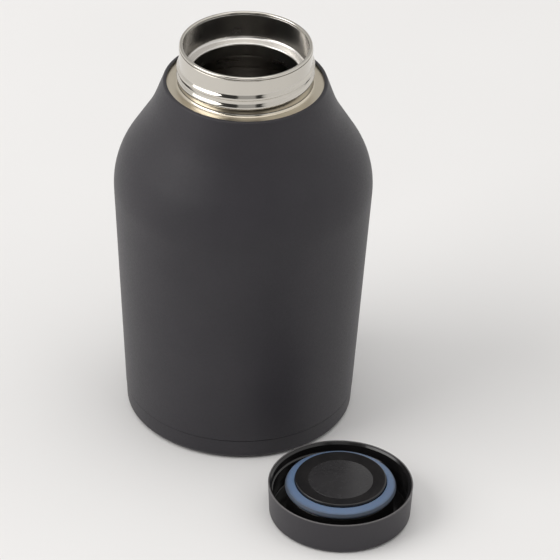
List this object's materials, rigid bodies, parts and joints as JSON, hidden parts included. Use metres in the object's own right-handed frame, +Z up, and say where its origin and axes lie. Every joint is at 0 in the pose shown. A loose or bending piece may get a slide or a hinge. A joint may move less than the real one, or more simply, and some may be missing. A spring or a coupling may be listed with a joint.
{
  "type": "growler",
  "caption": "Insulated double-wall steel growler with tapered body, sloping shoulder and threaded neck, standing open beside its upturned screw lid.",
  "frame": {"origin": "on the bottle's axis, in the plane that the bottle stands on", "axes": "+Z up along the bottle's axis, out of the mouth; the lid lies towards -Y and a little towards +X"},
  "size_m": [0.1569, 0.2075, 0.2162],
  "materials": {
    "coated_steel": "matte powder coat",
    "polished_steel": "polished stainless steel",
    "bare_steel": "brushed stainless steel",
    "foot_rubber": "matte",
    "seal_glass": "glossy solder glass",
    "copper_foil": "bright copper foil",
    "getter_metal": "sintered, dull",
    "lid_matte": "soft matte",
    "lid_gloss": "glossy",
    "seal_silicone": "satin silicone",
    "insulation_foam": "closed-cell foam"
  },
  "bodies": {
    "bottle": {"outer_shell": "coated_steel", "base_cup": "coated_steel", "foot_pad": "foot_rubber", "vacuum_base": "bare_steel", "vacuum_seal_bead": "seal_glass", "threaded_neck": "polished_steel", "mouth_lip": "polished_steel", "inner_liner": "bare_steel", "liner_bottom": "bare_steel", "copper_wrap": "copper_foil", "copper_disc": "copper_foil", "getter_clip": "bare_steel", "getter_pellet": "getter_metal"},
    "lid_disc": {"insulation_disc": "insulation_foam"},
    "lid_seal": {"seal_ring": "seal_silicone"},
    "lid": {"lid_cap": "lid_matte", "thread_insert": "lid_gloss", "plug_cover": "lid_gloss"}
  },
  "joints": [
    {"name": "lid_turn_over", "type": "hinge", "parent": "bottle", "child": "lid_disc", "pos_m": [0.02647, -0.05176, 0.11735], "axis": [-0.8903, -0.4553, 0], "range_deg": [0, 180]},
    {"name": "lid_lower", "type": "slide", "parent": "lid_disc", "child": "lid_seal", "axis": [0, 0, 1], "range_m": [0, 0.0167]},
    {"name": "lid_screw", "type": "hinge", "parent": "lid_seal", "child": "lid", "pos_m": [0.05294, -0.10351, 0], "axis": [0, 0, 1], "range_deg": [0, 1156.1]}
  ],
  "couplings": [
    {"joint": "lid_lower", "follows": "lid_screw", "m_per_rad": 0.00082761}
  ]
}
